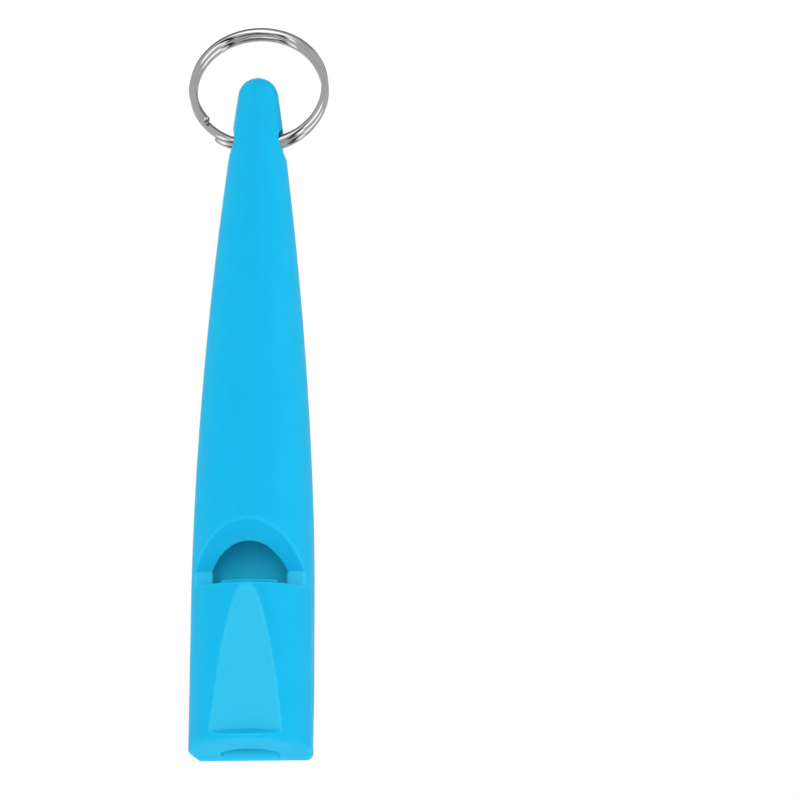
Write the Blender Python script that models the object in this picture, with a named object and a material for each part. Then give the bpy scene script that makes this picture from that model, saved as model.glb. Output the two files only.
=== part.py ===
"""Pealess dog whistle: a two-part moulded body and a split ring through the eye in its tip.

Metres, +Z up. The whistle stands with its mouth down and its front towards -Y. The origin is the
middle of the eye, on the axis that the ring swings about.
"""

import math

import bmesh
import bpy
from mathutils import Vector

# Body: heights run up from the mouth, depths run out from the seam at y = 0
LENGTH = 0.0820
WIDTH = 0.0139
FRONT_DEPTH = 0.0070
BACK_DEPTH = 0.0055
TAPER_START = 0.0185
TAPER_POWER = 1.81
TIP_WIDTH = 0.0043
TIP_FRONT_DEPTH = 0.0022
TIP_BACK_DEPTH = 0.0021
DOME_RADIUS = 0.0020
SEAM_GAP = 0.0001

# Back of the body: a round crown at the mouthpiece that turns into a flat with creased edges
CROWN_DEPTH = 0.0029
TIP_CROWN_DEPTH = 0.0010
CROWN_FLAT_SHARE = 0.06
FLAT_SHARE = 0.46
FLAT_BEGINS = 0.0200
FLAT_IS_FULL = 0.0400
CREASE_DROP = 0.0005

# Mouth end: the end face slants, so that the bite lip behind reaches lowest
END_SLANT = math.radians(12.9)
LIP_DEPTH = 0.0020
LIP_LENGTH = 0.0016
LIP_RISE = 0.0005
WEDGE_TOP = 0.0186
CHAMFER_WIDTH = 0.00105
CHAMFER_HEIGHT = 0.00092
CORNER_RADIUS = 0.00095

# Flat on the front of the mouthpiece, which sinks towards a bowed ridge above the end face
FLAT_TOP = 0.0185
FLAT_BOTTOM = 0.00302
FLAT_SINK = 0.00122
RIDGE_RUN = 0.0005
RIDGE_BOW = 0.00033

# Windway: from the slot in the end face up to a thin arched exit under the window
SLOT_WIDTH = 0.0066
SLOT_ROOF_DEPTH = 0.0025
SLOT_FLOOR_DEPTH = 0.0013
EXIT_WIDTH = 0.0065
EXIT_ROOF_DEPTH = 0.00545
EXIT_GAP = 0.0009
SLOT_SAG = 0.0015
EXIT_SAG = 0.0007
BLOCK_OVERHANG = 0.0007
BLOCK_CLEARANCE = 0.00012

# Window: a sill beside the opening and a ramp that rises to the front
WINDOW_BOTTOM = 0.0190
SILL_LENGTH = 0.0017
SILL_DEPTH = 0.0031
RAMP_ANGLE = math.radians(35.2)

# Sound chamber, and the hollow above the wall that stops it
BORE_RADIUS = 0.00515
BORE_BACK_DEPTH = 0.0037
CHAMBER_STEP = 0.0001
CHAMBER_TOP = 0.0370
STOP_WALL = 0.0030
HOLLOW_BELOW_EYE = 0.0080
HOLLOW_WALL = 0.0018

# Pocket that cores the fipple block from behind
POCKET_WIDTH = 0.00345
POCKET_BOTTOM = 0.0043
POCKET_TOP = 0.0171
POCKET_RUN = 0.0010
POCKET_WALL = 0.0013

# Eye and split ring: the ring hangs a little below the middle of the eye, turned to the right
EYE_BELOW_TIP = 0.0084
EYE_CLEARANCE = 0.0001
RING_DIAMETER = 0.01716
RING_DROP = 0.00031
WIRE_HEIGHT = 0.00098
WIRE_THICKNESS = 0.00090
TURN_GAP = 0.00045
RING_LEAN = math.radians(9.25)
RING_YAW = math.radians(5.0)
RING_START = math.radians(232.0)
RING_JOG = math.radians(19.0)

# Finishes: linear colour, roughness, metallic
PLASTIC = ((0.014, 0.47, 0.84, 1.0), 0.35, 0.0)
NICKEL = ((0.62, 0.61, 0.59, 1.0), 0.12, 1.0)

# Facets
ARCH_FACETS = 24
CROWN_FACETS = 8
TAPER_STATIONS = 14
DOME_STATIONS = 5
ROOF_FACETS = 8
BORE_FACETS = 24
EYE_STATIONS = 10
EYE_FACETS = 32
CORNER_FACETS = 6
RIDGE_FACETS = 12
RING_POINTS_PER_TURN = 48
WIRE_FACETS = 8

EYE_HEIGHT = LENGTH - EYE_BELOW_TIP
REACH = 2 * WIDTH
RING_RADIUS = RING_DIAMETER / 2 - WIRE_HEIGHT / 2


def clear_scene():
    """Remove every object of the scene that the script starts in."""
    for obj in list(bpy.data.objects):
        bpy.data.objects.remove(obj, do_unlink=True)


def new_collection(name):
    collection = bpy.data.collections.new(name)
    bpy.context.scene.collection.children.link(collection)
    return collection


def new_material(name, finish):
    """A Principled material with one colour, roughness and metallic value."""
    colour, roughness, metallic = finish
    material = bpy.data.materials.new(name)
    material.use_nodes = True
    shader = material.node_tree.nodes["Principled BSDF"]
    shader.inputs["Base Color"].default_value = colour
    shader.inputs["Roughness"].default_value = roughness
    shader.inputs["Metallic"].default_value = metallic
    return material


def new_object(name, mesh, collection, parent):
    obj = bpy.data.objects.new(name, mesh)
    obj.parent = parent
    collection.objects.link(obj)
    return obj


def new_empty(name, collection, parent=None):
    empty = new_object(name, None, collection, parent)
    empty.empty_display_size = WIDTH
    return empty


def mesh_from(name, bm):
    """Finish a bmesh: faces out, then into mesh data."""
    bmesh.ops.recalc_face_normals(bm, faces=bm.faces)
    mesh = bpy.data.meshes.new(name)
    bm.to_mesh(mesh)
    bm.free()
    return mesh


def loft(name, rings):
    """A closed skin through rings of equally many points, with a flat cap at each end."""
    bm = bmesh.new()
    loops = [[bm.verts.new(point) for point in ring] for ring in rings]
    for lower, upper in zip(loops, loops[1:]):
        for i in range(len(lower)):
            bm.faces.new((lower[i - 1], lower[i], upper[i], upper[i - 1]))
    bm.faces.new(loops[0])
    bm.faces.new(loops[-1])
    return mesh_from(name, bm)


def prism(name, outline, path):
    """A flat outline pushed along a straight path."""
    bm = bmesh.new()
    face = bm.faces.new([bm.verts.new(point) for point in outline])
    pushed = bmesh.ops.extrude_face_region(bm, geom=[face])["geom"]
    moved = [item for item in pushed if isinstance(item, bmesh.types.BMVert)]
    bmesh.ops.translate(bm, verts=moved, vec=Vector(path))
    return mesh_from(name, bm)


def across(name, profile, width):
    """A side profile of (height, y) points, pushed across the whistle about its middle."""
    outline = [(-width / 2, y, height) for height, y in profile]
    return prism(name, outline, (width, 0, 0))


def smoothstep(value, start, end):
    share = min(1.0, max(0.0, (value - start) / (end - start)))
    return share * share * (3 - 2 * share)


def mix(low, high, share):
    return low + (high - low) * share


def tapered(height, full, tip):
    """A size of the body that shrinks from the mouthpiece to the tip."""
    share = max(0.0, (height - TAPER_START) / (LENGTH - TAPER_START))
    return full - (full - tip) * share**TAPER_POWER


def dome_scale(height):
    """How much the round end of the tip draws a section in."""
    rise = max(0.0, (height - LENGTH + DOME_RADIUS) / DOME_RADIUS)
    return math.sqrt(1 - rise * rise)


def half_width(height):
    return tapered(height, WIDTH, TIP_WIDTH) / 2


def front_depth(height):
    return tapered(height, FRONT_DEPTH, TIP_FRONT_DEPTH)


def back_depth(height):
    return tapered(height, BACK_DEPTH, TIP_BACK_DEPTH)


def end_height(y):
    """Height of the slanted end face."""
    return (LIP_DEPTH - y) * math.tan(END_SLANT)


def arch(half, depth, facets):
    """Half an ellipse in front of the seam, from the right to the left."""
    angles = [math.pi * i / facets for i in range(facets + 1)]
    return [(half * math.cos(angle), -depth * math.sin(angle)) for angle in angles]


def front_section(height):
    """Outline of the front half at one height, closed along the seam."""
    scale = dome_scale(height)
    gap = SEAM_GAP / 2
    points = arch(half_width(height) * scale, front_depth(height) * scale, ARCH_FACETS)
    return [(x, y - gap) for x, y in points]


def back_flank(height):
    """Right half of the back's outline, from the edge of the flat out to the side wall."""
    half = half_width(height)
    change = smoothstep(height, FLAT_BEGINS, FLAT_IS_FULL)
    flat = half * mix(CROWN_FLAT_SHARE, FLAT_SHARE, change)
    crown = tapered(height, CROWN_DEPTH, TIP_CROWN_DEPTH)
    points = []
    for i in range(CROWN_FACETS + 1):
        angle = math.pi / 2 * i / CROWN_FACETS
        out = math.sin(angle)
        fall = CREASE_DROP * change * out + crown * (1 - math.cos(angle))
        points.append((mix(flat, half, out), back_depth(height) - fall))
    return points


def back_section(height):
    """Outline of the back half at one height, closed along the seam."""
    scale = dome_scale(height)
    gap = SEAM_GAP / 2
    right = [(half_width(height), 0.0)] + back_flank(height)[::-1]
    left = [(-x, y) for x, y in reversed(right)]
    return [(x * scale, y * scale + gap) for x, y in right + left]


def body_heights():
    """Heights of the sections above the end face: the taper, then the dome."""
    dome_start = LENGTH - DOME_RADIUS
    taper = [mix(TAPER_START, dome_start, i / TAPER_STATIONS) for i in range(TAPER_STATIONS)]
    turns = [math.pi / 2 * i / DOME_STATIONS for i in range(DOME_STATIONS)]
    return taper + [dome_start + DOME_RADIUS * math.sin(turn) for turn in turns]


def body_half(name, section):
    """One half of the body, from its slanted end face to the tip."""
    rings = [[(x, y, end_height(y)) for x, y in section(0.0)]]
    for height in body_heights():
        rings.append([(x, y, height) for x, y in section(height)])
    return loft(name, rings)


def windway_share(height):
    """How far along the windway a height lies: 0 at the mouth, 1 at the window."""
    return height / WINDOW_BOTTOM


def windway_half_width(height):
    return mix(SLOT_WIDTH, EXIT_WIDTH, windway_share(height)) / 2


def roof_y(height):
    return -mix(SLOT_ROOF_DEPTH, EXIT_ROOF_DEPTH, windway_share(height))


def roof_sag(height):
    """How far the windway's roof falls at its sides."""
    return mix(SLOT_SAG, EXIT_SAG, windway_share(height))


def floor_y(height):
    return mix(SLOT_FLOOR_DEPTH, EXIT_GAP - EXIT_ROOF_DEPTH, windway_share(height))


def floor_sag(height):
    """How far the windway's floor falls at its sides: flat at the mouth, arched at the exit."""
    return EXIT_SAG * windway_share(height)


def arched_ring(height, half, top_y, sag, base_y):
    """A ring with a round top, which falls by the sag at its sides, and a straight base."""
    ring = [(half, base_y, height)]
    for i in range(ROOF_FACETS + 1):
        side = 1 - 2 * i / ROOF_FACETS
        ring.append((half * side, top_y + sag * side * side, height))
    ring.append((-half, base_y, height))
    return ring


def channel_cutter():
    """The room in the front half for the windway and the fipple block."""
    base = BACK_DEPTH / 2
    ends = (-LIP_LENGTH, WINDOW_BOTTOM + SILL_LENGTH / 2)
    rings = [arched_ring(h, windway_half_width(h), roof_y(h), roof_sag(h), base) for h in ends]
    return loft("channel", rings)


def block_mesh():
    """The fipple block, taller than the windway's floor, which is cut into it afterwards."""
    ends = (LIP_LENGTH, WINDOW_BOTTOM + BLOCK_OVERHANG)
    rings = []
    for height in ends:
        half = windway_half_width(height) - BLOCK_CLEARANCE
        top = floor_y(height) - EXIT_GAP / 2
        rings.append(arched_ring(height, half, top, floor_sag(height), LIP_DEPTH))
    return loft("block", rings)


def floor_cutter():
    """The air above the block: its underside is the windway's floor."""
    ends = (-LIP_LENGTH, WINDOW_BOTTOM + SILL_LENGTH)
    rings = []
    for height in ends:
        half = windway_half_width(height)
        rings.append(arched_ring(height, half, floor_y(height), floor_sag(height), -REACH))
    return loft("windway_floor", rings)


def window_cutter():
    """Sill and ramp, cut right across the front."""
    sill_end = WINDOW_BOTTOM + SILL_LENGTH
    ramp_end = sill_end + (REACH - SILL_DEPTH) / math.tan(RAMP_ANGLE)
    profile = [
        (WINDOW_BOTTOM, -REACH),
        (WINDOW_BOTTOM, -SILL_DEPTH),
        (sill_end, -SILL_DEPTH),
        (ramp_end, -REACH),
    ]
    return across("window", profile, REACH)


def front_flat_y(height):
    """The flat's plane: it meets the front at its top and is sunk at its bottom."""
    share = (FLAT_TOP - height) / (FLAT_TOP - FLAT_BOTTOM)
    return FLAT_SINK * share - FRONT_DEPTH


def ridge_half_width():
    """Half the width of the flat along the ridge."""
    share = front_flat_y(FLAT_BOTTOM) / FRONT_DEPTH
    return WIDTH / 2 * math.sqrt(1 - share * share)


def front_flat_ring(x):
    """Side profile of the flat and of the step up to the ridge, which falls towards its sides."""
    foot = FLAT_BOTTOM - RIDGE_BOW * (x / ridge_half_width()) ** 2
    far = FLAT_TOP + REACH
    return [
        (x, front_flat_y(foot), foot),
        (x, front_flat_y(far), far),
        (x, -REACH, far),
        (x, -REACH, foot - RIDGE_RUN),
        (x, -FRONT_DEPTH, foot - RIDGE_RUN),
    ]


def front_flat_cutter():
    """The flat of the mouthpiece, down to the bowed ridge."""
    places = [WIDTH * (i / RIDGE_FACETS - 0.5) for i in range(RIDGE_FACETS + 1)]
    return loft("front_flat", [front_flat_ring(x) for x in places])


def wedge_y(height):
    """The plane behind the mouthpiece."""
    root = LIP_DEPTH - LIP_RISE
    return root + (BACK_DEPTH - root) * (height - LIP_LENGTH) / (WEDGE_TOP - LIP_LENGTH)


def wedge_cutter():
    """What the wedge and the bite lip leave out behind the mouthpiece."""
    profile = [
        (-REACH, LIP_DEPTH),
        (LIP_LENGTH - LIP_RISE, LIP_DEPTH),
        (LIP_LENGTH, wedge_y(LIP_LENGTH)),
        (WEDGE_TOP + REACH, wedge_y(WEDGE_TOP + REACH)),
        (WEDGE_TOP + REACH, REACH),
        (-REACH, REACH),
    ]
    return across("wedge", profile, REACH)


def pocket_cutter():
    """The pocket, whose floor lies one wall behind the windway."""
    foot = POCKET_BOTTOM + POCKET_RUN
    foot_y = floor_y(foot) + POCKET_WALL
    rise = (wedge_y(POCKET_BOTTOM) - foot_y) / POCKET_RUN
    profile = [
        (foot, foot_y),
        (POCKET_TOP, floor_y(POCKET_TOP) + POCKET_WALL),
        (POCKET_TOP, REACH),
        (foot - (REACH - foot_y) / rise, REACH),
    ]
    return across("pocket", profile, POCKET_WIDTH)


def bore_ring(height):
    """The chamber's section: round in front, a flatter ellipse behind."""
    front = arch(BORE_RADIUS, BORE_RADIUS, BORE_FACETS)
    back = arch(-BORE_RADIUS, -BORE_BACK_DEPTH, BORE_FACETS)
    return [(x, y, height) for x, y in front[:-1] + back[:-1]]


def chamber_cutter(name, bottom):
    return loft(name, [bore_ring(bottom), bore_ring(CHAMBER_TOP)])


def hollow_ring(height):
    """The body's own section, drawn in by the wall."""
    half = half_width(height) - HOLLOW_WALL
    front = arch(half, front_depth(height) - HOLLOW_WALL, BORE_FACETS)
    back = arch(-half, HOLLOW_WALL - back_depth(height), BORE_FACETS)
    return [(x, y, height) for x, y in front[:-1] + back[:-1]]


def hollow_cutter():
    """The upper hollow, from the stop wall to solid plastic below the eye."""
    bottom = CHAMBER_TOP + STOP_WALL
    top = EYE_HEIGHT - HOLLOW_BELOW_EYE
    heights = [mix(bottom, top, i / TAPER_STATIONS) for i in range(TAPER_STATIONS + 1)]
    return loft("hollow", [hollow_ring(height) for height in heights])


def chamfer_cutter():
    """The bevelled corner of the mouth, on the left."""
    side = -WIDTH / 2
    slope = CHAMFER_HEIGHT / CHAMFER_WIDTH
    outline = [
        (side - CHAMFER_WIDTH, -REACH, CHAMFER_HEIGHT + slope * CHAMFER_WIDTH),
        (side - CHAMFER_WIDTH, -REACH, -CHAMFER_HEIGHT),
        (side + 2 * CHAMFER_WIDTH, -REACH, -CHAMFER_HEIGHT),
    ]
    return prism("chamfer", outline, (0, 2 * REACH, 0))


def round_corner_cutter():
    """What lies outside the round corner of the mouth, on the right."""
    side = WIDTH / 2
    outline = []
    for i in range(CORNER_FACETS + 1):
        angle = math.pi / 2 * i / CORNER_FACETS
        x = side - CORNER_RADIUS * (1 - math.cos(angle))
        outline.append((x, -REACH, CORNER_RADIUS * (1 - math.sin(angle))))
    outline.append((side - CORNER_RADIUS, -REACH, -REACH))
    outline.append((REACH, -REACH, -REACH))
    outline.append((REACH, -REACH, CORNER_RADIUS))
    return prism("round_corner", outline, (0, 2 * REACH, 0))


def eye_radius(x):
    """Room for both turns of the ring at any swing, where it hangs and where it curves away."""
    rise = RING_RADIUS - math.sqrt(RING_RADIUS**2 - x**2)
    reach = max(rise, RING_DROP) + WIRE_HEIGHT / 2
    stack = WIRE_THICKNESS + TURN_GAP / 2 + abs(x) * math.tan(RING_YAW)
    return math.hypot(reach, stack) + EYE_CLEARANCE


def eye_cutter():
    """The eye: a hole across the tip that flares where the ring curves away."""
    reach = half_width(EYE_HEIGHT - 2 * eye_radius(0.0))
    rings = []
    for i in range(EYE_STATIONS + 1):
        x = reach * (2 * i / EYE_STATIONS - 1)
        angles = [math.tau * k / EYE_FACETS for k in range(EYE_FACETS)]
        radius = eye_radius(x)
        ring = [(x, radius * math.cos(a), EYE_HEIGHT + radius * math.sin(a)) for a in angles]
        rings.append(ring)
    return loft("eye", rings)


def ring_layer(turn):
    """Where along its axis the wire lies: the back layer, the jog, then the front layer."""
    back_end = math.tau - RING_JOG
    return mix(-1.0, 1.0, smoothstep(turn, back_end, math.tau)) * (WIRE_THICKNESS + TURN_GAP) / 2


def ring_points():
    """Middle line of the wire in the ring's own plane: two turns with a jog between them."""
    sweep = 2 * math.tau - RING_JOG
    count = round(RING_POINTS_PER_TURN * sweep / math.tau)
    points = []
    for i in range(count + 1):
        turn = sweep * i / count
        angle = RING_START + turn
        x = RING_RADIUS * math.cos(angle)
        y = RING_RADIUS * math.sin(angle)
        points.append(Vector((x, y, ring_layer(turn))))
    return points


def least_turn_gap(points):
    """Least clear distance between stretches of the wire that are half a turn or more apart."""
    apart = RING_POINTS_PER_TURN // 2
    gaps = []
    for i, first in enumerate(points):
        for second in points[i + apart:]:
            gaps.append((first - second).length)
    return min(gaps) - WIRE_THICKNESS


def poly_curve(name, points, cyclic):
    curve = bpy.data.curves.new(name, "CURVE")
    curve.dimensions = "3D"
    spline = curve.splines.new("POLY")
    spline.points.add(len(points) - 1)
    for knot, point in zip(spline.points, points):
        knot.co = (*point, 1.0)
    spline.use_cyclic_u = cyclic
    return curve


def wire_profile(collection, parent):
    """Section of the wire: an oval, taller across the ring than along its axis."""
    points = []
    for i in range(WIRE_FACETS):
        angle = -math.tau * (i + 0.5) / WIRE_FACETS
        points.append((math.cos(angle) * WIRE_HEIGHT / 2, math.sin(angle) * WIRE_THICKNESS / 2, 0))
    profile = new_object("wire_profile", poly_curve("wire_profile", points, True), collection, parent)
    profile.hide_render = True
    profile.display_type = "WIRE"
    return profile


def add_cuts(obj, cutters, operation="DIFFERENCE"):
    for cutter in cutters:
        cut = obj.modifiers.new(cutter.name, "BOOLEAN")
        cut.operation = operation
        cut.object = cutter


def add_finish(obj, material):
    obj.data.materials.append(material)
    obj.data.shade_smooth()
    obj.data.set_sharp_from_angle(angle=math.radians(35))


def build_cutters(collection, parent):
    """Every cutter of the body, by name."""
    meshes = [
        window_cutter(),
        channel_cutter(),
        front_flat_cutter(),
        chamber_cutter("front_chamber", WINDOW_BOTTOM + CHAMBER_STEP),
        chamber_cutter("back_chamber", WINDOW_BOTTOM + BLOCK_OVERHANG),
        hollow_cutter(),
        floor_cutter(),
        block_mesh(),
        wedge_cutter(),
        pocket_cutter(),
        eye_cutter(),
        chamfer_cutter(),
        round_corner_cutter(),
    ]
    cutters = {}
    for mesh in meshes:
        cutter = new_object(mesh.name, mesh, collection, parent)
        cutter.hide_render = True
        cutter.display_type = "WIRE"
        cutters[mesh.name] = cutter
    return cutters


# Cuts that run through both halves of the body
SHARED_CUTS = ["hollow", "eye", "chamfer", "round_corner"]


def build_front_shell(collection, parent, cutters, material):
    shell = new_object("front_shell", body_half("front_shell", front_section), collection, parent)
    names = ["window", "channel", "front_flat", "front_chamber"] + SHARED_CUTS
    add_cuts(shell, [cutters[name] for name in names])
    add_finish(shell, material)


def build_back_shell(collection, parent, cutters, material):
    shell = new_object("back_shell", body_half("back_shell", back_section), collection, parent)
    add_cuts(shell, [cutters["block"]], "UNION")
    names = ["windway_floor", "back_chamber", "wedge", "pocket"] + SHARED_CUTS
    add_cuts(shell, [cutters[name] for name in names])
    add_finish(shell, material)


def build_split_ring(collection, guides, pivot, material):
    points = ring_points()
    print("least gap between turns, mm:", round(least_turn_gap(points) * 1000, 3))
    curve = poly_curve("split_ring", points, False)
    curve.twist_mode = "Z_UP"
    curve.bevel_mode = "OBJECT"
    curve.bevel_object = wire_profile(guides, pivot)
    curve.use_fill_caps = True
    curve.materials.append(material)
    ring = new_object("split_ring", curve, collection, pivot)
    ring.location = (0, 0, RING_RADIUS - RING_DROP)
    ring.rotation_euler = (math.pi / 2, 0, RING_YAW)


def main():
    clear_scene()
    parts = new_collection("dog_whistle")
    guides = new_collection("cutters")
    plastic = new_material("body_plastic", PLASTIC)
    nickel = new_material("ring_nickel", NICKEL)
    body = new_empty("body_frame", parts)
    body.location = (0, 0, -EYE_HEIGHT)
    cutters = build_cutters(guides, body)
    build_front_shell(parts, body, cutters, plastic)
    build_back_shell(parts, body, cutters, plastic)
    pivot = new_empty("ring_pivot", parts)
    pivot.rotation_euler = (-RING_LEAN, 0, 0)
    build_split_ring(parts, guides, pivot, nickel)


main()
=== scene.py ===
"""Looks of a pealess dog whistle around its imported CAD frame.

The two mouldings are meshed from fields of distance, so that every edge has a real moulded radius.
Metres, +Z up, front towards -Y, origin in the middle of the eye. Heights run up from the mouth.
"""

import itertools
import math

import bpy
import numpy as np
from mathutils import Euler, Matrix, Vector


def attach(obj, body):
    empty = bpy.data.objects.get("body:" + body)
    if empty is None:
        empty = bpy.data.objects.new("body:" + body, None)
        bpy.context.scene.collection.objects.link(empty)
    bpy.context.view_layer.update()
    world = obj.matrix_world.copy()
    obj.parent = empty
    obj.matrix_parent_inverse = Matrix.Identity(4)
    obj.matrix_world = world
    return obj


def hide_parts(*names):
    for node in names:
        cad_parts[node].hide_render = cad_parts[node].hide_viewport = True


# Body, with the sizes of the CAD, except that the halves meet at the seam, a small step ends the sill, the
# ridge is a little longer and more bowed, and the closed hollow above the chamber is left out
LENGTH = 0.0820
WIDTH = 0.0139
FRONT_DEPTH = 0.0070
BACK_DEPTH = 0.0055
TAPER_START = 0.0185
TAPER_POWER = 1.81
TIP_WIDTH = 0.0043
TIP_FRONT_DEPTH = 0.0022
TIP_BACK_DEPTH = 0.0021
DOME_RADIUS = 0.0020

CROWN_DEPTH = 0.0029
TIP_CROWN_DEPTH = 0.0010
CROWN_FLAT_SHARE = 0.06
FLAT_SHARE = 0.46
FLAT_BEGINS = 0.0200
FLAT_IS_FULL = 0.0400
CREASE_DROP = 0.0005

END_SLANT = math.radians(12.9)
LIP_DEPTH = 0.0020
LIP_LENGTH = 0.0016
LIP_RISE = 0.0005
WEDGE_TOP = 0.0186
CHAMFER_WIDTH = 0.00105
CHAMFER_HEIGHT = 0.00092
CORNER_RADIUS = 0.00095

FLAT_TOP = 0.0185
FLAT_BOTTOM = 0.00302
FLAT_SINK = 0.00122
RIDGE_RUN = 0.0007
RIDGE_BOW = 0.00040
RIDGE_HALF_WIDTH = WIDTH / 2 * math.sqrt(1 - (1 - FLAT_SINK / FRONT_DEPTH) ** 2)

SLOT_WIDTH = 0.0066
SLOT_ROOF_DEPTH = 0.0025
SLOT_FLOOR_DEPTH = 0.0013
EXIT_WIDTH = 0.0065
EXIT_ROOF_DEPTH = 0.00545
EXIT_GAP = 0.0009
SLOT_SAG = 0.0015
EXIT_SAG = 0.0007
BLOCK_OVERHANG = 0.0007
BLOCK_CLEARANCE = 0.00012

WINDOW_BOTTOM = 0.0190
SILL_LENGTH = 0.0017
SILL_DEPTH = 0.0031
SILL_STEP = 0.00012
RAMP_ANGLE = math.radians(35.2)

BORE_RADIUS = 0.00515
BORE_BACK_DEPTH = 0.0037
CHAMBER_STEP = 0.0001
CHAMBER_TOP = 0.0370

POCKET_WIDTH = 0.00345
POCKET_BOTTOM = 0.0043
POCKET_TOP = 0.0171
POCKET_RUN = 0.0010
POCKET_WALL = 0.0013
POCKET_CORNER = 0.0003

EYE_BELOW_TIP = 0.0084
EYE_CLEARANCE = 0.0001
EYE_HEIGHT = LENGTH - EYE_BELOW_TIP

# Split ring: a close coil here, where the CAD has two flat turns of thinner wire with a gap between them
RING_DIAMETER = 0.01709
RING_DROP = 0.00032
WIRE_HEIGHT = 0.00099
WIRE_THICKNESS = 0.00107
TURN_GAP = 0.00001
RING_PITCH = WIRE_THICKNESS + TURN_GAP
RING_LEAN = math.radians(10.75)
RING_START = math.radians(230.0)
RING_SHORTFALL = math.radians(8.0)
RING_RADIUS = RING_DIAMETER / 2 - WIRE_HEIGHT / 2

# Radii of the moulded edges
SEAM_EDGE = 0.00003
END_EDGE = 0.00014
FRONT_END_EDGE = 0.00045
WINDOW_EDGE = 0.00014
CHANNEL_EDGE = 0.00012
FLAT_EDGE = 0.00002
BORE_EDGE = 0.00015
WEDGE_EDGE = 0.00018
POCKET_EDGE = 0.00016
EYE_EDGE = 0.00030
INSIDE_EDGE = 0.00015

# Mesh: cells of the fields, coarser along the plain taper. Each row below has the height that a stretch of
# the body ends at and the height of its cells.
CELL = 0.00016
HEIGHT_CELLS = (
    (0.0035, 0.00012),
    (0.0180, 0.00030),
    (0.0245, 0.00010),
    (0.0275, 0.00014),
    (0.0690, 0.00070),
    (LENGTH, 0.00016),
)
MARGIN = 0.0004
SETTLE_STEPS = 4
SETTLE_REACH = CELL / 3
SLOPE_STEP = 0.000004
LEAST_SLOPE = 0.5
TINY = 1e-6

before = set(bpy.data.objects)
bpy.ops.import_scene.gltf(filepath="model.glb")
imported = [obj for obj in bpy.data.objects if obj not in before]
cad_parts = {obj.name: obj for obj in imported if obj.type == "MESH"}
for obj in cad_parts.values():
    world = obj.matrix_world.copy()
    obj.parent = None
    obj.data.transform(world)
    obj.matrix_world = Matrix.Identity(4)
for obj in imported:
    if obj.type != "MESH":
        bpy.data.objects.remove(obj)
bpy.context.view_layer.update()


def smoothstep(value, start, end):
    share = np.clip((value - start) / (end - start), 0.0, 1.0)
    return share * share * (3 - 2 * share)


def mix(low, high, share):
    return low + (high - low) * share


def both(first, second, fillet):
    """Where two fields overlap, with the edge between them rounded."""
    corner = np.hypot(np.maximum(first + fillet, 0.0), np.maximum(second + fillet, 0.0))
    return np.minimum(np.maximum(first, second), -fillet) + corner


def either(first, second, fillet):
    """Two fields joined, with the inner corner between them rounded."""
    return -both(-first, -second, fillet)


def cut(solid, tool, fillet):
    """A solid without the tool's room."""
    return both(solid, -tool, fillet)


def sharp(*fields):
    """Where all of the fields overlap, with plain edges."""
    return np.maximum.reduce(np.broadcast_arrays(*fields))


def tapered(height, full, tip):
    """A size of the body that shrinks from the mouthpiece to the tip."""
    share = np.maximum(0.0, (height - TAPER_START) / (LENGTH - TAPER_START))
    return full - (full - tip) * share**TAPER_POWER


def half_width(height):
    return tapered(height, WIDTH, TIP_WIDTH) / 2


def oval(across, out, half, depth):
    """Distance from an ellipse, to first order."""
    u, v = across / half, out / depth
    radius = np.hypot(u, v)
    steep = np.hypot(u / half, v / depth) / np.maximum(radius, TINY)
    return (radius - 1) / np.maximum(steep, 1 / WIDTH)


def end_face(y, h):
    """The slanted end face: solid above it."""
    return ((LIP_DEPTH - y) * math.tan(END_SLANT) - h) * math.cos(END_SLANT)


def corners(x, h):
    """The mouth's two corners, seen from the front: one bevelled, one round."""
    slope = CHAMFER_HEIGHT / CHAMFER_WIDTH
    left = (-WIDTH / 2 - x) * slope + CHAMFER_HEIGHT - h
    left = left / math.hypot(1, slope)
    right_x = np.maximum(x - WIDTH / 2 + CORNER_RADIUS, 0)
    right = np.hypot(right_x, np.maximum(CORNER_RADIUS - h, 0)) - CORNER_RADIUS
    return both(left, right, END_EDGE)


def mouth_end(form, x, y, h, edge):
    """A form cut off by the end face and by the mouth's corners."""
    form = both(form, end_face(y, h), edge)
    return both(form, corners(x, h), END_EDGE)


def front_form(x, y, h):
    """The arched front, before its cuts."""
    form = oval(x, y, half_width(h), tapered(h, FRONT_DEPTH, TIP_FRONT_DEPTH))
    form = both(form, h - LENGTH, DOME_RADIUS)
    form = mouth_end(form, x, y, h, FRONT_END_EDGE)
    return both(form, y, SEAM_EDGE)


def crease_share(height):
    """How far the back's crown has turned into a flat with creased edges."""
    return smoothstep(height, FLAT_BEGINS, FLAT_IS_FULL)


def flat_half_width(height):
    return half_width(height) * mix(CROWN_FLAT_SHARE, FLAT_SHARE, crease_share(height))


def back_form(x, y, h):
    """The back, before its cuts: side walls, rounded flanks and a flat with creased edges."""
    half, flat = half_width(h), flat_half_width(h)
    depth = tapered(h, BACK_DEPTH, TIP_BACK_DEPTH)
    crown = tapered(h, CROWN_DEPTH, TIP_CROWN_DEPTH)
    out = np.abs(x) - flat
    fall = CREASE_DROP * crease_share(h) * np.clip(out / (half - flat), 0.0, 1.0)
    lift = y + fall - depth + crown
    box = np.maximum(out + flat - half, lift - crown)
    flank = oval(np.maximum(out, 0), np.maximum(lift, 0), half - flat, crown)
    form = np.where((out > 0) & (lift > 0), flank, box)
    form = mix(form, oval(x, y, half, depth), smoothstep(-form, 0.0, DOME_RADIUS))
    form = both(form, h - LENGTH, DOME_RADIUS)
    form = mouth_end(form, x, y, h, END_EDGE)
    return both(form, -y, SEAM_EDGE)


def windway_share(height):
    """How far along the windway a height lies: 0 at the mouth, 1 at the window."""
    return height / WINDOW_BOTTOM


def windway_half_width(height):
    return mix(SLOT_WIDTH, EXIT_WIDTH, windway_share(height)) / 2


def roof_y(height):
    return -mix(SLOT_ROOF_DEPTH, EXIT_ROOF_DEPTH, windway_share(height))


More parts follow.
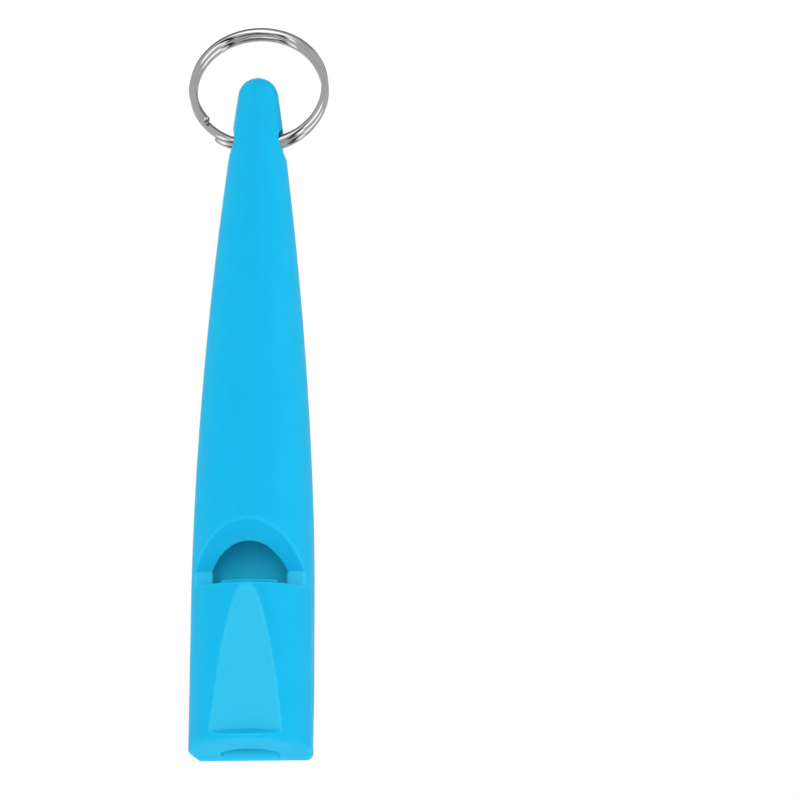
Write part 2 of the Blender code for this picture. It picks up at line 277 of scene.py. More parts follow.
def roof_sag(height):
    """How far the windway's roof falls at its sides."""
    return mix(SLOT_SAG, EXIT_SAG, windway_share(height))


def floor_y(height):
    return mix(SLOT_FLOOR_DEPTH, EXIT_GAP - EXIT_ROOF_DEPTH, windway_share(height))


def floor_sag(height):
    """How far the windway's floor falls at its sides: flat at the mouth, arched at the exit."""
    return EXIT_SAG * windway_share(height)


def channel(x, y, h):
    """The room in the front for the windway and the fipple block."""
    half = windway_half_width(h)
    roof = roof_y(h) + roof_sag(h) * (x / half) ** 2 - y
    room = both(np.abs(x) - half, roof, INSIDE_EDGE)
    return np.maximum(room, h - WINDOW_BOTTOM - SILL_LENGTH / 2)


def block(x, y, h):
    """The fipple block, whose top is the windway's floor."""
    half = windway_half_width(h) - BLOCK_CLEARANCE
    top = floor_y(h) + floor_sag(h) * (x / half) ** 2 - y
    form = both(np.abs(x) - half, top, SEAM_EDGE)
    ends = np.maximum(LIP_LENGTH - h, h - WINDOW_BOTTOM - BLOCK_OVERHANG)
    return both(np.maximum(form, y - LIP_DEPTH), ends, SEAM_EDGE)


def windway_floor(x, y, h):
    """The air above the windway's floor."""
    half = windway_half_width(h)
    air = y - floor_y(h) - floor_sag(h) * (x / half) ** 2
    return sharp(air, np.abs(x) - half, h - WINDOW_BOTTOM)


def window(y, h):
    """Wall, sill and ramp, cut right across the front. The ramp ends a little below the sill."""
    sill_end = WINDOW_BOTTOM + SILL_LENGTH
    ramp = SILL_DEPTH - SILL_STEP + (h - sill_end) * math.tan(RAMP_ANGLE) + y
    ramp = np.maximum(ramp * math.cos(RAMP_ANGLE), sill_end - h)
    sill = both(SILL_DEPTH + y, WINDOW_BOTTOM - h, INSIDE_EDGE)
    return either(ramp, np.maximum(sill, h - sill_end - SILL_STEP), SEAM_EDGE)


def front_flat_plane(y, h):
    """The flat of the mouthpiece, which sinks towards the ridge: air in front of it."""
    slope = FLAT_SINK / (FLAT_TOP - FLAT_BOTTOM)
    plane = FRONT_DEPTH - FLAT_SINK + slope * (h - FLAT_BOTTOM) + y
    return plane / math.hypot(1, slope)


def front_flat(x, y, h):
    """The flat, down to the step up to a ridge that bows with the mouth."""
    slope = RIDGE_RUN / FLAT_SINK
    bow = RIDGE_BOW * (x / RIDGE_HALF_WIDTH) ** 2
    step = FLAT_BOTTOM - bow - h - slope * (FLAT_SINK - FRONT_DEPTH - y)
    return both(front_flat_plane(y, h), step / math.hypot(1, slope), INSIDE_EDGE)


def bore(x, y):
    """The chamber's section: round in front, a flatter ellipse behind."""
    front = np.hypot(x, y) - BORE_RADIUS
    return np.where(y < 0, front, oval(x, y, BORE_RADIUS, BORE_BACK_DEPTH))


def chamber(x, y, h, bottom):
    return sharp(bore(x, y), bottom - h, h - CHAMBER_TOP)


def wedge_y(height):
    """The plane behind the mouthpiece."""
    root = LIP_DEPTH - LIP_RISE
    return root + (BACK_DEPTH - root) * (height - LIP_LENGTH) / (WEDGE_TOP - LIP_LENGTH)


def wedge(y, h):
    """The wedge and the bite lip behind the mouthpiece: solid in front of them."""
    slope = (BACK_DEPTH - LIP_DEPTH + LIP_RISE) / (WEDGE_TOP - LIP_LENGTH)
    plane = (y - wedge_y(h)) / math.hypot(1, slope)
    foot = (h - LIP_LENGTH + y - LIP_DEPTH + LIP_RISE) * math.sqrt(0.5)
    lip = both(y - LIP_DEPTH, foot, WEDGE_EDGE)
    return either(plane, lip, WEDGE_EDGE)


def pocket(x, y, h):
    """The pocket, whose floor lies one wall behind the windway."""
    foot = POCKET_BOTTOM + POCKET_RUN
    foot_y = floor_y(foot) + POCKET_WALL
    rise = (wedge_y(POCKET_BOTTOM) - foot_y) / POCKET_RUN
    low = (foot - h) - (y - foot_y) / rise
    fall = (floor_y(POCKET_TOP) - floor_y(foot)) / (POCKET_TOP - foot)
    bed = floor_y(h) + POCKET_WALL - y
    room = both(bed / math.hypot(1, fall), low / math.hypot(1, 1 / rise), INSIDE_EDGE)
    room = both(room, h - POCKET_TOP, INSIDE_EDGE)
    return both(room, np.abs(x) - POCKET_WIDTH / 2, POCKET_CORNER)


def eye(x, y, h):
    """The eye: a hole across the tip, with room for the ring at any swing."""
    inside = np.minimum(np.abs(x), RING_RADIUS / 2)
    rise = RING_RADIUS - np.sqrt(RING_RADIUS**2 - inside**2)
    reach = np.maximum(rise, RING_DROP) + WIRE_HEIGHT / 2
    stack = (RING_PITCH + WIRE_THICKNESS) / 2 + RING_PITCH * inside / (math.tau * RING_RADIUS)
    return np.hypot(y, h - EYE_HEIGHT) - np.hypot(reach, stack) - EYE_CLEARANCE


def front_moulding(x, y, h):
    """Field of the front half: negative inside the plastic."""
    solid = cut(front_form(x, y, h), front_flat(x, y, h), FLAT_EDGE)
    solid = cut(solid, channel(x, y, h), CHANNEL_EDGE)
    solid = cut(solid, window(y, h), WINDOW_EDGE)
    solid = cut(solid, chamber(x, y, h, WINDOW_BOTTOM + CHAMBER_STEP), BORE_EDGE)
    return cut(solid, eye(x, y, h), EYE_EDGE)


def back_moulding(x, y, h):
    """Field of the back half: negative inside the plastic."""
    solid = back_form(x, y, h)
    solid = both(solid, wedge(y, h), WEDGE_EDGE)
    solid = cut(solid, windway_floor(x, y, h), BORE_EDGE)
    solid = np.minimum(solid, sharp(block(x, y, h), wedge(y, h)))
    solid = cut(solid, chamber(x, y, h, WINDOW_BOTTOM + BLOCK_OVERHANG), BORE_EDGE)
    solid = cut(solid, pocket(x, y, h), POCKET_EDGE)
    return cut(solid, eye(x, y, h), EYE_EDGE)


def steps(start, end, size):
    """Evenly spaced values from start, up to but not with the end."""
    return np.linspace(start, end, math.ceil((end - start) / size), endpoint=False)


def body_heights():
    """Heights of the grid, close together where the body has detail."""
    parts, bottom = [], -MARGIN
    for top, size in HEIGHT_CELLS:
        parts.append(steps(bottom, top, size))
        bottom = top
    return np.concatenate(parts + [np.array((LENGTH, LENGTH + MARGIN / 2, LENGTH + MARGIN))])


def cell_points(values, axes, cells):
    """One point for each cell that the surface crosses: the mean of the crossings on its edges."""
    places = np.zeros((len(cells[0]), 3))
    met = np.zeros(len(cells[0]))
    for axis in range(3):
        others = [a for a in range(3) if a != axis]
        for offset in itertools.product((0, 1), repeat=2):
            start = [cells[a].copy() for a in range(3)]
            for a, step in zip(others, offset):
                start[a] += step
            end = list(start)
            end[axis] = start[axis] + 1
            here, there = values[tuple(start)], values[tuple(end)]
            crossed = (here < 0) != (there < 0)
            share = np.where(crossed, here / np.where(crossed, here - there, 1.0), 0.0)
            for a in range(3):
                place = axes[a][start[a]]
                if a == axis:
                    place = place + share * (axes[a][end[a]] - place)
                places[:, a] += np.where(crossed, place, 0.0)
            met += crossed
    return places / met[:, None]


def cell_quads(inside, number):
    """Quads round every grid edge that the surface crosses, facing out of the solid."""
    quads = []
    for axis in range(3):
        first, second = (axis + 1) % 3, (axis + 2) % 3
        middle = [slice(1, -1)] * 3
        middle[axis] = slice(None, -1)
        beyond = list(middle)
        beyond[axis] = slice(1, None)
        here, there = inside[tuple(middle)], inside[tuple(beyond)]
        edge = np.array(np.nonzero(here != there))
        leaving = here[tuple(edge)]
        edge[first] += 1
        edge[second] += 1
        around = []
        for i, j in ((-1, -1), (0, -1), (0, 0), (-1, 0)):
            cell = edge.copy()
            cell[first] += i
            cell[second] += j
            around.append(number[tuple(cell)])
        ring = np.stack(around, axis=1)
        quads.append(np.where(leaving[:, None], ring, ring[:, ::-1]))
    return np.concatenate(quads)


def slope_of(field, points):
    """Gradient of a field at each point."""
    slope = np.empty_like(points)
    for axis in range(3):
        step = np.zeros(3)
        step[axis] = SLOPE_STEP
        change = field(*(points + step).T) - field(*(points - step).T)
        slope[:, axis] = change / (2 * SLOPE_STEP)
    return slope


def settled(field, points):
    """Points moved onto the surface of the field."""
    for _ in range(SETTLE_STEPS):
        slope = slope_of(field, points)
        steep = np.maximum((slope * slope).sum(axis=1), LEAST_SLOPE**2)
        move = np.clip(field(*points.T) / steep, -SETTLE_REACH, SETTLE_REACH)
        points = points - slope * move[:, None]
    return points


def corners_inside(inside):
    """How many corners of each cell lie inside the solid."""
    count = np.zeros([n - 1 for n in inside.shape], np.int8)
    for i, j, k in itertools.product((0, 1), repeat=3):
        count += inside[i:i - 1 or None, j:j - 1 or None, k:k - 1 or None]
    return count


def moulding(name, field, y_range):
    """A mesh of a field's surface at the body's place, and its points as the field sees them."""
    low, high = y_range
    across = WIDTH / 2 + MARGIN
    axes = (
        steps(-across, across, CELL),
        steps(low - MARGIN, high + MARGIN, CELL),
        body_heights(),
    )
    values = field(*np.meshgrid(*axes, indexing="ij", sparse=True))
    inside = values < 0
    count = corners_inside(inside)
    crossed = (count > 0) & (count < 8)
    number = np.full(count.shape, -1)
    number[crossed] = np.arange(crossed.sum())
    points = settled(field, cell_points(values, axes, np.nonzero(crossed)))
    place = np.array((0, 0, -EYE_HEIGHT))
    return mesh_object(name, points + place, cell_quads(inside, number)), points


def mesh_object(name, points, faces):
    """A smooth-shaded mesh object in the scene."""
    mesh = bpy.data.meshes.new(name)
    mesh.from_pydata(np.asarray(points).tolist(), [], [list(face) for face in faces])
    mesh.shade_smooth()
    obj = bpy.data.objects.new(name, mesh)
    bpy.context.scene.collection.objects.link(obj)
    return obj


# Edges that the material paints with highlights: curvatures in 1/m, and the back's broader creases, which
# get painted highlights too
EDGE_PROBE = 0.00012
FRONT_HIGHLIGHT_STARTS = 900.0
BACK_HIGHLIGHT_STARTS = 2500.0
HIGHLIGHT_IS_FULL = 4500.0
CREASE_HIGHLIGHT_HALF_WIDTH = 0.0004


def edge_highlight_share(field, points, starts):
    """How much painted highlight each point gets: how far it lies on a sharp outer edge, from the field's
    curvature there: the sum of its six neighbours less six times itself."""
    bend = -6 * field(*points.T)
    for axis in range(3):
        step = np.zeros(3)
        step[axis] = EDGE_PROBE
        bend += field(*(points + step).T) + field(*(points - step).T)
    return smoothstep(bend / EDGE_PROBE**2, starts, HIGHLIGHT_IS_FULL)


def outer_edge_highlights(field, points, starts):
    """Painted highlights on sharp outer edges, without those along the seam, where the halves are flush.
    """
    return edge_highlight_share(field, points, starts) * smoothstep(np.abs(points[:, 1]), CELL, 2 * CELL)


def crease_highlights(x, y, h):
    """Painted highlights on the creases along the back's flat."""
    aside = np.abs(np.abs(x) - flat_half_width(h))
    line = 1 - smoothstep(aside, 0.0, CREASE_HIGHLIGHT_HALF_WIDTH)
    return line * crease_share(h) * (y > tapered(h, BACK_DEPTH, TIP_BACK_DEPTH) / 2)


def add_attribute(obj, name, values):
    """One number for each vertex, which the material reads."""
    layer = obj.data.attributes.new(name, "FLOAT", "POINT")
    layer.data.foreach_set("value", np.asarray(values, np.float32))


# Split ring mesh
RING_STEPS = 320
WIRE_STEPS = 24
WIRE_SQUARENESS = 2.3
END_LENGTH = 0.00035
END_STEPS = 8
END_POINT_SHARE = 0.02


def ring_sweep():
    """Turn of the wire at each section, closer together at its rounded ends."""
    sweep = 2 * math.tau - RING_SHORTFALL
    cap = END_LENGTH / RING_RADIUS
    ends = cap * (1 - np.cos(np.linspace(0, math.pi / 2, END_STEPS, endpoint=False)))
    middle = np.linspace(cap, sweep - cap, round(RING_STEPS * sweep / math.tau))
    return np.concatenate([ends, middle, sweep - ends[::-1]])


def ring_sections(turn):
    """Place along the axis (front positive) and size of the wire at each turn."""
    bottom = 1.5 * math.pi - RING_START
    between_turns = bottom + math.pi
    along = RING_PITCH * (turn - between_turns) / math.tau
    from_end = np.minimum(turn, turn[-1] - turn) * RING_RADIUS
    rise = 1 - np.clip(from_end / END_LENGTH, 0, 1)
    size = np.maximum(np.sqrt(1 - rise * rise), END_POINT_SHARE)
    return along, size


def rounded(values):
    """A circle's sines or cosines, bulged towards a square's."""
    return np.sign(values) * np.abs(values) ** (2 / WIRE_SQUARENESS)


def wire_outline():
    """The wire's section: away from the ring's middle, and towards the front."""
    around = math.tau * np.arange(WIRE_STEPS) / WIRE_STEPS
    return rounded(np.cos(around)) * WIRE_HEIGHT / 2, rounded(np.sin(around)) * WIRE_THICKNESS / 2


def tube_faces(rows, count):
    """Quads between rows of points, and a face at each end."""
    start = np.arange(rows - 1)[:, None] * count + np.arange(count)
    beside = np.arange(rows - 1)[:, None] * count + (np.arange(count) + 1) % count
    quads = np.stack([start, beside, beside + count, start + count], axis=-1).reshape(-1, 4)
    first_end = list(range(count))[::-1]
    last_end = list(range((rows - 1) * count, rows * count))
    return quads.tolist() + [first_end, last_end]


def split_ring(name):
    """Nearly two turns of flattened wire, evenly about the eye's axis and leaning back from it."""
    turn = ring_sweep()
    along, size = ring_sections(turn)
    out, forward = wire_outline()
    angle = RING_START + turn
    reach = RING_RADIUS + size[:, None] * out
    front = along[:, None] + size[:, None] * forward
    upright = np.stack([
        reach * np.cos(angle)[:, None],
        -front,
        reach * np.sin(angle)[:, None] + RING_RADIUS - RING_DROP,
    ], axis=-1).reshape(-1, 3)
    lean = np.array(Matrix.Rotation(-RING_LEAN, 3, "X"))
    return mesh_object(name, upright @ lean.T, tube_faces(len(turn), WIRE_STEPS))


# Camera: the photograph's left view
CAMERA_TARGET = Vector((0.0, 0.0, -0.0326))
CAMERA_DISTANCE = 0.2267
CAMERA_AZIMUTH = math.radians(5.84)
CAMERA_ELEVATION = math.radians(-14.46)
CAMERA_YAW = math.radians(-4.30)
CAMERA_PITCH = math.radians(0.138)
CAMERA_ROLL = math.radians(0.647)
CAMERA_LENS = 86.95
SENSOR_WIDTH = 36.0
NEAREST = 0.005
FARTHEST = 50.0


def add_camera():
    data = bpy.data.cameras.new("camera")
    data.lens = CAMERA_LENS
    data.sensor_width = SENSOR_WIDTH
    data.clip_start = NEAREST
    data.clip_end = FARTHEST
    camera = bpy.data.objects.new("camera", data)
    bpy.context.scene.collection.objects.link(camera)
    back = Vector((
        math.sin(CAMERA_AZIMUTH) * math.cos(CAMERA_ELEVATION),
        -math.cos(CAMERA_AZIMUTH) * math.cos(CAMERA_ELEVATION),
        math.sin(CAMERA_ELEVATION),
    ))
    aim = (-back).to_track_quat("-Z", "Y").to_matrix().to_4x4()
    turn = Euler((CAMERA_PITCH, CAMERA_YAW, CAMERA_ROLL)).to_matrix().to_4x4()
    place = Matrix.Translation(CAMERA_TARGET + back * CAMERA_DISTANCE)
    camera.matrix_world = place @ aim @ turn
    bpy.context.scene.camera = camera


class Graph:
    """A short way to write shader nodes: each call makes a node and links or sets its inputs."""

    def __init__(self, tree):
        self.tree = tree

    def add(self, kind, inputs=None, **settings):
        node = self.tree.nodes.new(kind)
        for name, value in settings.items():
            setattr(node, name, value)
        for name, value in (inputs or {}).items():
            if isinstance(value, bpy.types.NodeSocket):
                self.tree.links.new(value, node.inputs[name])
            else:
                node.inputs[name].default_value = value
        return node


def new_material(name):
    """An empty node material with its output."""
    material = bpy.data.materials.new(name)
    material.use_nodes = True
    material.node_tree.nodes.clear()
    graph = Graph(material.node_tree)
    output = graph.add("ShaderNodeOutputMaterial")
    return material, graph, output


# The range that most values of a noise take
NOISE_LOW = 0.3
NOISE_HIGH = 0.7


def noise(graph, place, scale, detail):
    inputs = {"Vector": place, "Scale": scale, "Detail": detail}
    return graph.add("ShaderNodeTexNoise", inputs).outputs["Fac"]


def spread(graph, value, low, high):
    """A noise stretched to a range."""
    inputs = {"Value": value, "From Min": NOISE_LOW, "From Max": NOISE_HIGH, "To Min": low, "To Max": high}
    return graph.add("ShaderNodeMapRange", inputs).outputs["Result"]


def blend(graph, share, first, second):
    """A mix of two numbers."""
    return graph.add("ShaderNodeMix", {0: share, 2: first, 3: second}, data_type="FLOAT").outputs[0]


def blend_colour(graph, share, first, second):
    """A mix of two colours."""
    return graph.add("ShaderNodeMix", {0: share, 6: first, 7: second}, data_type="RGBA").outputs[2]


def calculate(graph, operation, first, second):
    return graph.add("ShaderNodeMath", {0: first, 1: second}, operation=operation).outputs[0]


def attribute(graph, name):
    """A number that the mesh carries at each vertex."""
    return graph.add("ShaderNodeAttribute", attribute_name=name).outputs["Fac"]


# Plastic: linear colours
BLUE = (0.0085, 0.490, 0.815, 1.0)
BLUE_DEEP = (0.0070, 0.470, 0.795, 1.0)
BLUE_GRAIN = (0.040, 0.575, 0.830, 1.0)
# Painted highlight for edges and creases, and painted light inside the hollows for the light that the
# walls let through
BLUE_EDGE_HIGHLIGHT = (0.040, 0.600, 0.870, 1.0)
BLUE_INSIDE_PAINTED_LIGHT = (0.036, 0.740, 0.980, 1.0)
MIRRORED = (0.16, 0.16, 0.16, 1.0)
# Noise scales, in 1/m
FLOW_SCALE = 260.0
SPECK_SCALE = 9000.0
PEEL_SCALE = 3200.0
SAND_SCALE = 7500.0
# Ranges that the noises are spread to
GRAIN_SHARE = (0.55, 1.0)
INSIDE_LIGHT_SHARE = (0.80, 1.0)
EDGE_HIGHLIGHT_SHARE = (0.25, 0.55)
SMOOTH_ROUGHNESS = (0.36, 0.44)
GRAIN_ROUGHNESS = (0.48, 0.62)
PEEL_HEIGHT = (0.0, 0.25)
SAND_HEIGHT = (0.0, 1.0)


def plastic_colour(graph, flow, speck, grain):
    """Blue with faint flow marks, paler on grained faces, with painted light inside and painted highlights
    on edges. The painted light inside stands for the light that the walls let through, and the plastic is
    grey in mirrors, as the photograph's ring shows no blue."""
    colour = blend_colour(graph, spread(graph, flow, 0.0, 1.0), BLUE, BLUE_DEEP)
    grained = blend_colour(graph, spread(graph, speck, *GRAIN_SHARE), colour, BLUE_GRAIN)
    colour = blend_colour(graph, grain, colour, grained)
    # Painted light inside the chamber, the windway and the pocket, from the inside attribute
    inside = calculate(graph, "MULTIPLY", attribute(graph, "inside"), spread(graph, speck, *INSIDE_LIGHT_SHARE))
    colour = blend_colour(graph, inside, colour, BLUE_INSIDE_PAINTED_LIGHT)
    # Painted highlights on sharp edges and the back's creases, from the edge attribute
    edge = calculate(graph, "MULTIPLY", attribute(graph, "edge"), spread(graph, flow, *EDGE_HIGHLIGHT_SHARE))
    colour = blend_colour(graph, edge, colour, BLUE_EDGE_HIGHLIGHT)
    in_mirror = graph.add("ShaderNodeLightPath").outputs["Is Glossy Ray"]
    return blend_colour(graph, in_mirror, colour, MIRRORED)


def plastic_material():
    """Satin moulded plastic: orange peel, grained faces, painted highlights on the edges and painted light
    inside.
    """
    material, graph, output = new_material("body_plastic")
    place = graph.add("ShaderNodeTexCoord").outputs["Object"]
    grain = attribute(graph, "grain")
    flow = noise(graph, place, FLOW_SCALE, detail=3.0)
    speck = noise(graph, place, SPECK_SCALE, detail=2.0)
    smooth = spread(graph, flow, *SMOOTH_ROUGHNESS)
    rough = blend(graph, grain, smooth, spread(graph, speck, *GRAIN_ROUGHNESS))
    peel = spread(graph, noise(graph, place, PEEL_SCALE, detail=3.0), *PEEL_HEIGHT)
    sand = spread(graph, noise(graph, place, SAND_SCALE, detail=3.0), *SAND_HEIGHT)
    height = blend(graph, grain, peel, sand)
    bump = graph.add("ShaderNodeBump", {"Strength": 0.35, "Distance": 0.00002, "Height": height})
    shader = graph.add("ShaderNodeBsdfPrincipled", {
        "Base Color": plastic_colour(graph, flow, speck, grain),
        "Roughness": rough,
        "Normal": bump.outputs["Normal"],
        "Specular IOR Level": 0.04,
        "Subsurface Weight": 0.4,
        "Subsurface Radius": (0.4, 0.8, 1.0),
        "Subsurface Scale": 0.0010,
    })
    graph.tree.links.new(shader.outputs["BSDF"], output.inputs["Surface"])
    return material


# Nickel: linear colours, noise scales in 1/m and the ranges that the clouding is spread to
NICKEL = (0.60, 0.60, 0.60, 1.0)
NICKEL_DULL = (0.50, 0.50, 0.50, 1.0)
CLOUD_SCALE = 700.0
SCRATCH_SCALE = 14000.0
DULL_SHARE = (0.0, 0.6)
NICKEL_ROUGHNESS = (0.02, 0.06)


def nickel_material():
    """Polished nickel plate with faint clouding and fine scratches."""
    material, graph, output = new_material("ring_nickel")
    place = graph.add("ShaderNodeTexCoord").outputs["Object"]
    cloud = noise(graph, place, CLOUD_SCALE, detail=4.0)
    scratches = noise(graph, place, SCRATCH_SCALE, detail=2.0)
    bump = graph.add("ShaderNodeBump", {"Strength": 0.05, "Distance": 0.000004, "Height": scratches})
    shader = graph.add("ShaderNodeBsdfPrincipled", {
        "Base Color": blend_colour(graph, spread(graph, cloud, *DULL_SHARE), NICKEL, NICKEL_DULL),
        "Roughness": spread(graph, cloud, *NICKEL_ROUGHNESS),
        "Normal": bump.outputs["Normal"],
        "Metallic": 1.0,
    })
    graph.tree.links.new(shader.outputs["BSDF"], output.inputs["Surface"])
    return material


# Studio: the world's light, and the floor, which is lifted to white for the eye, most far from the lamps
AMBIENT = 0.49
FLOOR_HEIGHT = -0.32
FLOOR_SIZE = 12.0
FLOOR_TONE = (0.86, 0.90)
FLOOR_NOISE_SCALE = 3.0
FLOOR_GLOW = 0.14
FAR_GLOW = 0.56
GLOW_NEAR = 0.2
GLOW_FAR = 0.9
# Lamps: name, place, watts, size
LAMPS = (
    ("left", (-0.56, -0.03, 0.02), 0.93, (0.35, 0.50)),
    ("right", (0.56, -0.03, 0.0), 1.10, (0.35, 0.50)),
    ("front", (0.03, -0.60, -0.10), 0.85, (0.25, 0.25)),
    ("upper", (0.03, -0.56, 0.14), 0.68, (0.25, 0.25)),
    ("under", (0.0, 0.12, -0.25), 0.175, (0.12, 0.12)),
    ("rear", (-0.20, 0.55, 0.20), 1.40, (0.45, 0.45)),
)

# Walls that the ring mirrors: a plain shade, with light and dark strips. A strip has a name, the
# directions of its ends, a half width and a shade. A direction is an azimuth, from the front to the
# right, and an elevation. Angles are in degrees.
WALL_RADIUS = 0.2
WALL_SHADE = 0.62
STRIP_SOFTNESS = 3.0
WALL_STRIPS = (
    ("ceiling", (0, 80), (90, 85), 22, 0.22),
    ("table", (0, -85), (180, -85), 28, 0.28),
    ("window", (-150, 47), (-125, 52), 24, 2.0),
    ("doorway", (140, 40), (162, 42), 9, 0.0),
    ("front light", (-8, -12), (-4, 12), 17, 2.0),
    ("front light's foot", (-15, -45), (-15, -25), 7, 1.2),
    ("right light", (52, 4), (72, -10), 18, 1.6),
    ("stand", (21, 14), (30, -8), 6, 0.0),
    ("stand's leg", (30, -8), (52, -37), 6, 0.0),
    ("stand's base", (55, -40), (84, -54), 6, 0.0),
    ("left sheet", (-46, -24), (-95, -36), 6.5, 1.7),
    ("left table edge", (-36, -36), (-75, -51), 7, 0.0),
    ("left table end", (-75, -51), (-115, -46), 5, 0.15),
    ("right sheet", (66, -33), (124, -35), 6, 1.6),
    ("right table edge", (110, -46), (126, -45), 6, 0.0),
    ("lamp stand", (-25, 55), (-14, 56), 5, 0.0),
)


def seen_directly(graph):
    """1 for rays that show a background: to the eye, in a mirror or through glass."""
    path = graph.add("ShaderNodeLightPath").outputs
    seen = calculate(graph, "MAXIMUM", path["Is Camera Ray"], path["Is Glossy Ray"])
    return calculate(graph, "MAXIMUM", seen, path["Is Transmission Ray"])


def add_world():
    """White for the eye and for reflections, and a softer level for light."""
    world = bpy.data.worlds.new("studio")
    world.use_nodes = True
    bpy.context.scene.world = world
    world.node_tree.nodes.clear()
    graph = Graph(world.node_tree)
    level = blend(graph, seen_directly(graph), AMBIENT, 1.0)
    light = graph.add("ShaderNodeBackground", {"Color": (1, 1, 1, 1), "Strength": level})
    output = graph.add("ShaderNodeOutputWorld")
    graph.tree.links.new(light.outputs[0], output.inputs["Surface"])


def floor_glow(graph, place):
    """What lifts the floor to white for the eye: more of it where the lamps don't reach."""
    away = graph.add("ShaderNodeVectorMath", {0: place}, operation="LENGTH").outputs["Value"]
    level = graph.add("ShaderNodeMapRange", {
        "Value": away,
        "From Min": GLOW_NEAR,
        "From Max": GLOW_FAR,
        "To Min": FLOOR_GLOW,
        "To Max": FAR_GLOW,
    }, interpolation_type="SMOOTHSTEP").outputs["Result"]
    return blend(graph, seen_directly(graph), 0.0, level)


def floor_material():
    """Pale floor: lit as any surface, and lifted to white for the eye, so that only shadows show."""
    material, graph, output = new_material("floor")
    place = graph.add("ShaderNodeTexCoord").outputs["Object"]
    tone = spread(graph, noise(graph, place, FLOOR_NOISE_SCALE, detail=2.0), *FLOOR_TONE)
    colour = graph.add("ShaderNodeCombineColor", {0: tone, 1: tone, 2: tone}).outputs[0]
    lit = graph.add("ShaderNodeBsdfDiffuse", {"Color": colour})
    glow = graph.add("ShaderNodeEmission", {"Strength": floor_glow(graph, place)})
    lit_and_glowing = graph.add("ShaderNodeAddShader", {0: lit.outputs[0], 1: glow.outputs[0]})
    graph.tree.links.new(lit_and_glowing.outputs[0], output.inputs["Surface"])
    return material


def add_floor():
    half = FLOOR_SIZE / 2
    outline = np.array([(-half, -half, 0), (half, -half, 0), (half, half, 0), (-half, half, 0)])
    floor = mesh_object("floor", outline + (0, 0, FLOOR_HEIGHT), np.array([[0, 1, 2, 3]]))
    floor.data.materials.append(floor_material())


def aim_at(obj, place, target):
    obj.location = place
    obj.rotation_mode = "QUATERNION"
    obj.rotation_quaternion = (Vector(target) - Vector(place)).to_track_quat("-Z", "Y")


def add_lamp(name, place, power, size):
    data = bpy.data.lights.new(name, "AREA")
    data.shape = "RECTANGLE"
    data.size, data.size_y = size
    data.energy = power
    lamp = bpy.data.objects.new(name, data)
    bpy.context.scene.collection.objects.link(lamp)
    lamp.visible_camera = False
    lamp.visible_glossy = False
    aim_at(lamp, place, CAMERA_TARGET)


def direction(azimuth, elevation):
    """Unit vector at an azimuth from the front to the right and an elevation, in degrees."""
    turn, rise = math.radians(azimuth), math.radians(elevation)
    return Vector((math.sin(turn) * math.cos(rise), -math.cos(turn) * math.cos(rise), math.sin(rise)))


def strip_share(graph, toward, start, end, reach):
    """1 inside a strip of the walls with round ends and 0 outside, with a soft edge."""
    first = direction(*start)
    along = direction(*end) - first
    offset = graph.add("ShaderNodeVectorMath", {0: toward, 1: first}, operation="SUBTRACT")
    onto = {0: offset.outputs[0], 1: along / along.length_squared}
    part = graph.add("ShaderNodeVectorMath", onto, operation="DOT_PRODUCT").outputs["Value"]
    part = graph.add("ShaderNodeClamp", {"Value": part}).outputs[0]
    nearest = graph.add("ShaderNodeVectorMath", {0: part, 1: along, 2: first}, operation="MULTIPLY_ADD")
    distance = graph.add("ShaderNodeVectorMath", {0: toward, 1: nearest.outputs[0]}, operation="DISTANCE")
    share = graph.add("ShaderNodeMapRange", {
        "Value": distance.outputs["Value"],
        "From Min": math.radians(reach + STRIP_SOFTNESS),
        "From Max": math.radians(reach - STRIP_SOFTNESS),
    }, interpolation_type="SMOOTHSTEP")
    return share.outputs["Result"]


def wall_material():
    material, graph, output = new_material("walls")
    place = graph.add("ShaderNodeTexCoord").outputs["Object"]
    toward = graph.add("ShaderNodeVectorMath", {0: place}, operation="NORMALIZE").outputs[0]
    shade = WALL_SHADE
    for _name, start, end, reach, tone in WALL_STRIPS:
        shade = blend(graph, strip_share(graph, toward, start, end, reach), shade, tone)
    glow = graph.add("ShaderNodeEmission", {"Strength": shade})
    graph.tree.links.new(glow.outputs[0], output.inputs["Surface"])
    return material


def add_walls():
    """A globe around the ring that only reflections see, as the walls and lights of a studio."""
    bpy.ops.mesh.primitive_uv_sphere_add(
        segments=96, ring_count=48, radius=WALL_RADIUS, location=(0, 0, RING_RADIUS)
    )
    walls = bpy.context.object
    walls.name = "walls"
    walls.data.materials.append(wall_material())
    walls.visible_camera = False
    walls.visible_diffuse = False
    walls.visible_shadow = False
    walls.visible_transmission = False


def dress(obj, node, body, material):
    """Gives a piece its material, the body that it moves with and the solid that it stands for."""
    obj.data.materials.append(material)
    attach(obj, body)
    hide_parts(node)


def on(surface):
    """1 on a surface and 0 off it."""
    return 1 - smoothstep(np.abs(surface), CELL / 8, CELL / 2)


# How much painted light the inside gets: at the windway's mouth, fading out between two depths, and in the
# pocket
MOUTH_PAINTED_LIGHT = 0.85
MOUTH_LIGHT = 0.0004
MOUTH_DARK = 0.0013
POCKET_PAINTED_LIGHT = 0.45


def near_window(h):
    """A share that rises from the mouth's part of the windway to 1 at the window."""
    return smoothstep(h, WINDOW_BOTTOM / 4, WINDOW_BOTTOM / 2)


def near_mouth(y, h):
    """A share that falls from the end face into the windway."""
    return MOUTH_PAINTED_LIGHT * (1 - smoothstep(-end_face(y, h), MOUTH_LIGHT, MOUTH_DARK))


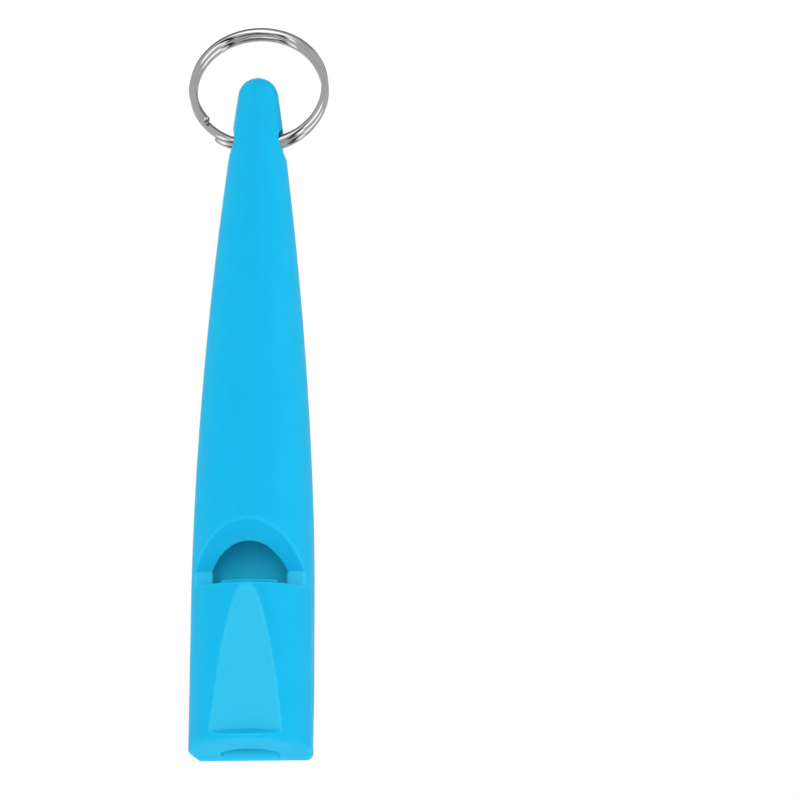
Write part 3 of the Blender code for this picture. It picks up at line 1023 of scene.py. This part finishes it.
def front_grain(y, h):
    """The matte faces of the front: the flat and the sills."""
    above_ridge = smoothstep(h, FLAT_BOTTOM - RIDGE_BOW, FLAT_BOTTOM)
    below_window = 1 - smoothstep(h, FLAT_TOP, WINDOW_BOTTOM)
    flat = on(front_flat_plane(y, h)) * above_ridge * below_window
    sill_end = WINDOW_BOTTOM + SILL_LENGTH
    sill = on(SILL_DEPTH + y) * (1 - below_window) * (1 - smoothstep(h, sill_end, sill_end + SILL_STEP))
    return np.maximum(flat, sill)


def add_front(plastic):
    front, points = moulding("front_moulding", front_moulding, (-FRONT_DEPTH, 0.0))
    x, y, h = points.T
    chamber_wall = on(chamber(x, y, h, WINDOW_BOTTOM + CHAMBER_STEP))
    roof = on(channel(x, y, h)) * near_window(h)
    add_attribute(front, "grain", front_grain(y, h))
    # The inside attribute paints light on the chamber's wall and the roof near the window; the edge
    # attribute paints highlights on sharp outer edges
    add_attribute(front, "inside", np.maximum(chamber_wall, roof))
    add_attribute(front, "edge", outer_edge_highlights(front_moulding, points, FRONT_HIGHLIGHT_STARTS))
    dress(front, "front_shell", "whistle", plastic)


def add_back(plastic):
    back, points = moulding("back_moulding", back_moulding, (-EXIT_ROOF_DEPTH, BACK_DEPTH))
    x, y, h = points.T
    chamber_wall = on(chamber(x, y, h, WINDOW_BOTTOM + BLOCK_OVERHANG))
    floor = on(windway_floor(x, y, h)) * (near_window(h) + near_mouth(y, h))
    pocket_wall = on(pocket(x, y, h)) * POCKET_PAINTED_LIGHT
    edge_highlights = outer_edge_highlights(back_moulding, points, BACK_HIGHLIGHT_STARTS)
    add_attribute(back, "grain", np.zeros(len(points)))
    # The inside attribute paints light in the chamber, on the windway's floor and in the pocket; the edge
    # attribute paints highlights on sharp edges and the creases
    add_attribute(back, "inside", np.maximum.reduce([chamber_wall, floor, pocket_wall]))
    add_attribute(back, "edge", np.maximum(edge_highlights, crease_highlights(x, y, h)))
    dress(back, "back_shell", "whistle", plastic)


def add_body():
    plastic = plastic_material()
    add_front(plastic)
    add_back(plastic)


def add_ring():
    ring = split_ring("split_ring_turns")
    dress(ring, "split_ring", "ring", nickel_material())


def add_studio():
    add_world()
    add_floor()
    for name, place, power, size in LAMPS:
        add_lamp(name, place, power, size)
    add_walls()
    add_camera()


bpy.context.scene.view_settings.view_transform = "Standard"
add_body()
add_ring()
add_studio()
